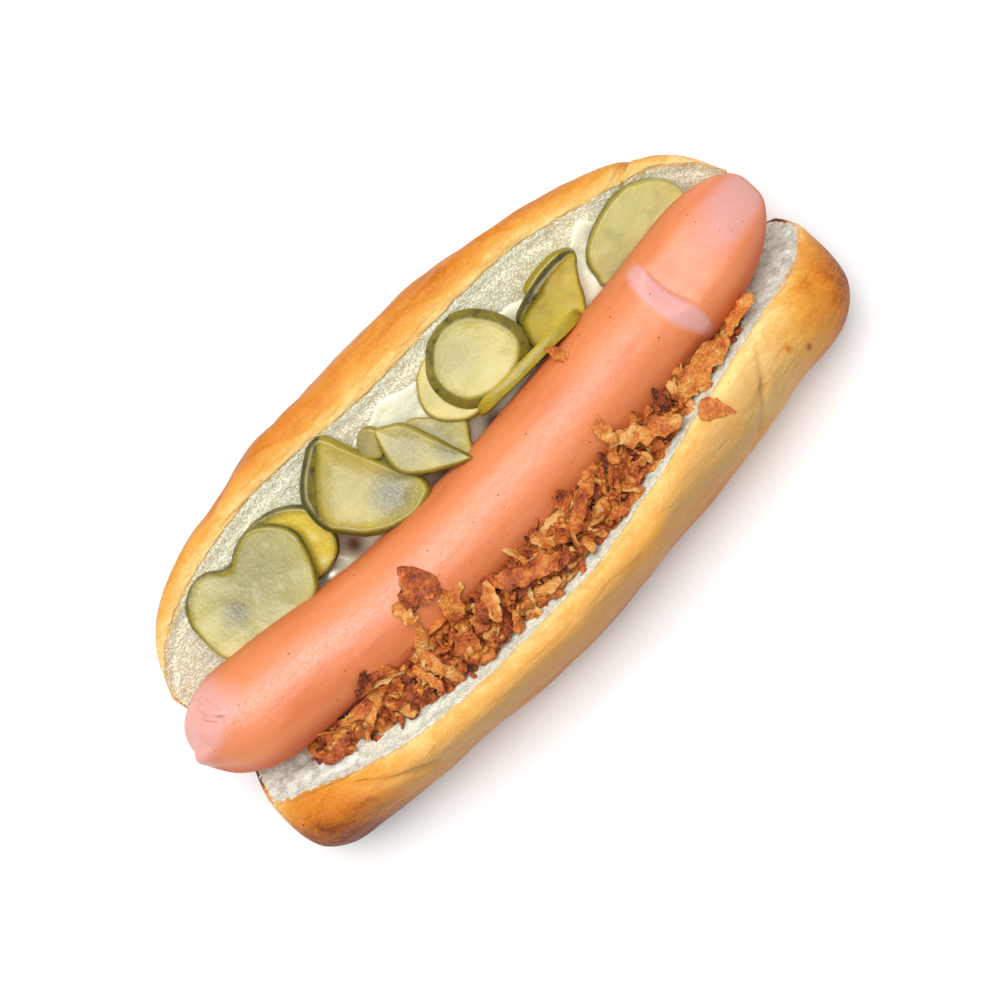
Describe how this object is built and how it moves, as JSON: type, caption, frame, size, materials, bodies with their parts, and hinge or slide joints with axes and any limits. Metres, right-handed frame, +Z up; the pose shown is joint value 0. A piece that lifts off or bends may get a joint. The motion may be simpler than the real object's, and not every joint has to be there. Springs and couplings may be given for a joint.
{
  "type": "hot dog",
  "caption": "Wheat bun opened along its top, holding a frankfurter with pickle slices and white dressing on one side and crisp fried onions on the other.",
  "frame": {"origin": "the point on the surface the bun rests on, under the middle of the whole hot dog's length and width", "axes": "+X along the bun and sausage, +Y towards the pickle side, +Z up out of the opened slice"},
  "size_m": [0.1817, 0.0871, 0.0426],
  "materials": {
    "bread": "baked golden crust with a pale open crumb where it is cut",
    "sausage": "smooth, moist, slightly glossy skin",
    "pickle": "wet, translucent flesh with a dark olive peel",
    "dressing": "creamy and glossy",
    "fried_onion": "dry, crisp, browned unevenly"
  },
  "bodies": {
    "root": {"bun": "bread", "sausage": "sausage", "pickle_standing": "pickle", "pickle_folded": "pickle", "pickle_saddle": "pickle", "pickle_curled": "pickle", "pickle_ring": "pickle", "pickle_tucked": "pickle", "pickle_wide": "pickle", "pickle_under": "pickle", "pickle_pale": "pickle", "pickle_yellow": "pickle", "pickle_crescent": "pickle", "dressing": "dressing", "fried_onions": "fried_onion"}
  },
  "joints": []
}
